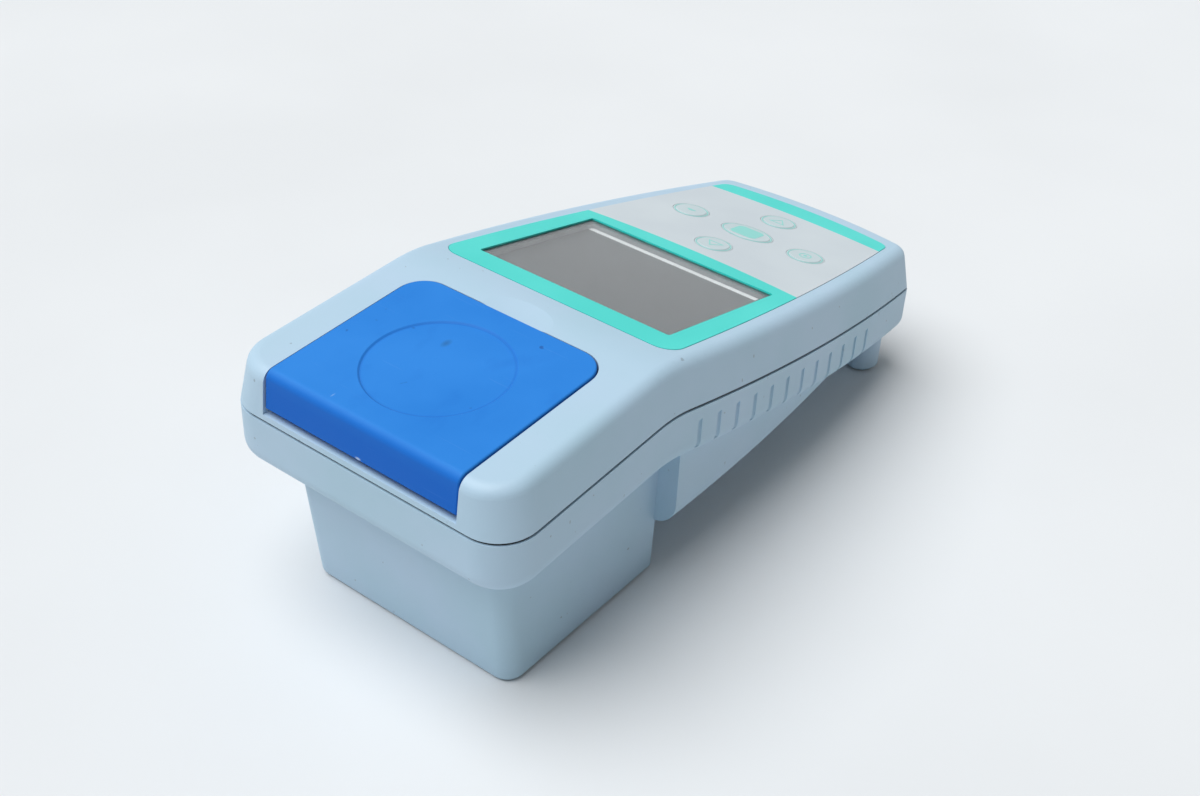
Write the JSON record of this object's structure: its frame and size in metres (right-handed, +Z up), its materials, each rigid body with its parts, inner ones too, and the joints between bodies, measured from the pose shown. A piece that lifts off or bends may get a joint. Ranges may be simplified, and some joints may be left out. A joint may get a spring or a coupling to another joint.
{
  "type": "digital turbidimeter",
  "caption": "Handheld digital turbidimeter in pale blue plastic with a blue sample lid, teal and grey keypad and grip grooves, standing on its sample block and two feet",
  "frame": {"origin": "on the bench, under the middle of the case", "axes": "X is the width, +Y points to the lid end and -Y to the user's end, +Z is up"},
  "size_m": [0.0906, 0.2091, 0.0751],
  "materials": {
    "housing_plastic": "moulded ABS, fine matt texture",
    "lid_plastic": "moulded ABS, satin gloss",
    "film_print": "reverse-printed polyester film, satin",
    "key_rubber": "printed silicone rubber, satin",
    "window_acrylic": "clear acrylic with a faint grey tint",
    "lcd_glass": "reflective liquid crystal glass",
    "white_plastic": "white moulded plastic",
    "diffuser": "milky light panel",
    "dark_rubber": "soft black rubber",
    "foam_rubber": "closed-cell black foam",
    "black_plastic": "black moulded plastic",
    "board_laminate": "green glass-fibre laminate",
    "chip_epoxy": "black moulded epoxy",
    "steel": "zinc-plated steel",
    "spring_steel": "nickel-plated spring steel",
    "can_steel": "plain metal can",
    "lens_glass": "polished clear glass",
    "led_resin": "tinted clear epoxy",
    "flex_film": "amber polyimide film",
    "cell_wrap": "printed wrap on a steel can"
  },
  "bodies": {
    "base": {"upper_housing": "housing_plastic", "lower_housing": "housing_plastic", "case_gasket": "dark_rubber", "case_screws": "steel", "lid_hinge_pin": "steel", "sample_well": "black_plastic", "optical_block": "black_plastic", "optical_block_screws": "steel", "infrared_led": "led_resin", "collimating_lens": "lens_glass", "transmission_detector": "can_steel", "scatter_detector": "can_steel", "emitter_board": "board_laminate", "transmission_board": "board_laminate", "scatter_board": "board_laminate", "sensor_cable": "flex_film", "keypad_overlay": "film_print", "display_window": "window_acrylic", "display_gasket": "dark_rubber", "lcd_panel": "lcd_glass", "lcd_frame": "white_plastic", "backlight_panel": "diffuser", "display_connector": "dark_rubber", "key_domes": "spring_steel", "main_board": "board_laminate", "board_screws": "steel", "board_components": "chip_epoxy", "buzzer": "black_plastic", "battery_tray": "black_plastic", "batteries": "cell_wrap", "battery_springs": "spring_steel", "battery_plates": "spring_steel", "block_feet": "dark_rubber", "handle_feet": "dark_rubber"},
    "lid": {"sample_lid": "lid_plastic", "lid_light_seal": "foam_rubber"},
    "power_button": {"power_key": "key_rubber"},
    "menu_button": {"menu_key": "key_rubber"},
    "up_button": {"up_key": "key_rubber"},
    "down_button": {"down_key": "key_rubber"},
    "read_button": {"read_key": "key_rubber"},
    "door": {"battery_door": "housing_plastic"}
  },
  "joints": [
    {"name": "lid_hinge", "type": "hinge", "parent": "base", "child": "lid", "pos_m": [0, 0.1003, 0.0665], "axis": [-1, 0, 0], "range_deg": [0, 100]},
    {"name": "power_press", "type": "slide", "parent": "base", "child": "power_button", "axis": [0, 0.225, -0.9744], "range_m": [0, 0.0004], "stiffness_N_per_m": 3000},
    {"name": "menu_press", "type": "slide", "parent": "base", "child": "menu_button", "axis": [0, 0.225, -0.9744], "range_m": [0, 0.0004], "stiffness_N_per_m": 3000},
    {"name": "up_press", "type": "slide", "parent": "base", "child": "up_button", "axis": [0, 0.225, -0.9744], "range_m": [0, 0.0004], "stiffness_N_per_m": 3000},
    {"name": "down_press", "type": "slide", "parent": "base", "child": "down_button", "axis": [0, 0.225, -0.9744], "range_m": [0, 0.0004], "stiffness_N_per_m": 3000},
    {"name": "read_press", "type": "slide", "parent": "base", "child": "read_button", "axis": [0, 0.225, -0.9744], "range_m": [0, 0.0004], "stiffness_N_per_m": 3000},
    {"name": "battery_door_tilt", "type": "hinge", "parent": "base", "child": "door", "pos_m": [0, -0.062, 0.0178], "axis": [-1, 0, 0], "range_deg": [0, 60]}
  ]
}
